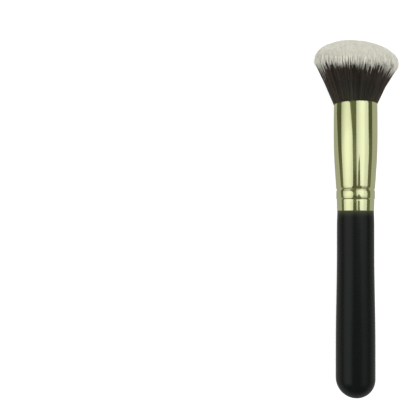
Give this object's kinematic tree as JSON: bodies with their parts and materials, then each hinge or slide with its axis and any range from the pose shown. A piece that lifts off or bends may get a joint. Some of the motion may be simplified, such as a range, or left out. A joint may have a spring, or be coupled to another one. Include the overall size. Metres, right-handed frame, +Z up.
{
  "type": "blush brush",
  "caption": "Short face brush with a flared two-tone tuft, slanted domed top, pale gold ferrule and round-ended black handle.",
  "frame": {"origin": "on the surface that the brush lies on, below the middle of its bounding box", "axes": "+Y from the butt to the tuft along the surface, +Z up, +X to the right seen from above with the tuft away"},
  "size_m": [0.035, 0.1518, 0.0333],
  "materials": {
    "black_lacquer": "gloss",
    "gold_aluminium": "polished",
    "filament": "matte",
    "thread": "matte",
    "glue": "gloss"
  },
  "bodies": {
    "root": {"handle": "black_lacquer", "ferrule": "gold_aluminium", "bristle_tuft": "filament", "binding_thread": "thread", "root_glue_plug": "glue"}
  },
  "joints": []
}
